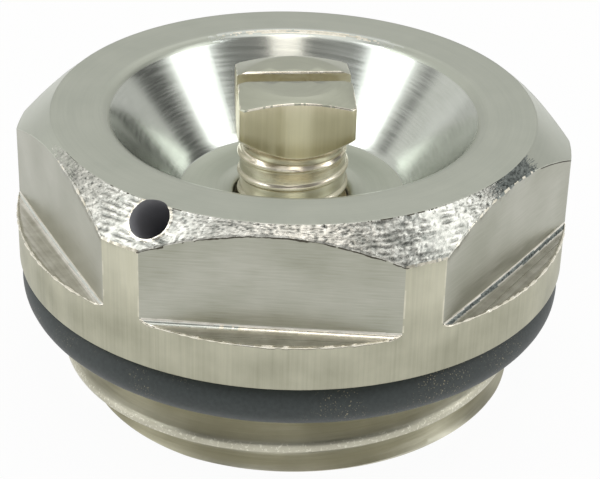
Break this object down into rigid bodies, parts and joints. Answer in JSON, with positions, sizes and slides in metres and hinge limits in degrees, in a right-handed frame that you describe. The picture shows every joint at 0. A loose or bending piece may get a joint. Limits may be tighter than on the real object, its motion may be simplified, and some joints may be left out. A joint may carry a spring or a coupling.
{
  "type": "radiator bleed valve",
  "caption": "Radiator bleed valve: turned hexagon plug with a round flange, pipe-thread spigot, O-ring, dished top, side vent and a square-headed bleed screw.",
  "frame": {"origin": "centre of the spigot's end face, on the axis, where the part stands", "axes": "+Z along the axis from the spigot to the key square; -Y is the normal of the front spanner flat"},
  "size_m": [0.0244, 0.0244, 0.0139],
  "materials": {
    "nickel_plated_brass": "satin nickel plate on turned and milled brass",
    "seal_rubber": "matt moulded EPDM",
    "screw_brass": "bright nickel plate on turned brass"
  },
  "bodies": {
    "plug": {"valve_body": "nickel_plated_brass", "flange_seal": "seal_rubber"},
    "screw": {"bleed_screw": "screw_brass"}
  },
  "joints": [
    {"name": "bleed_turn", "type": "hinge", "parent": "plug", "child": "screw", "pos_m": [0, 0, 0.007], "axis": [0, 0, 1], "range_deg": [0, 450]}
  ]
}
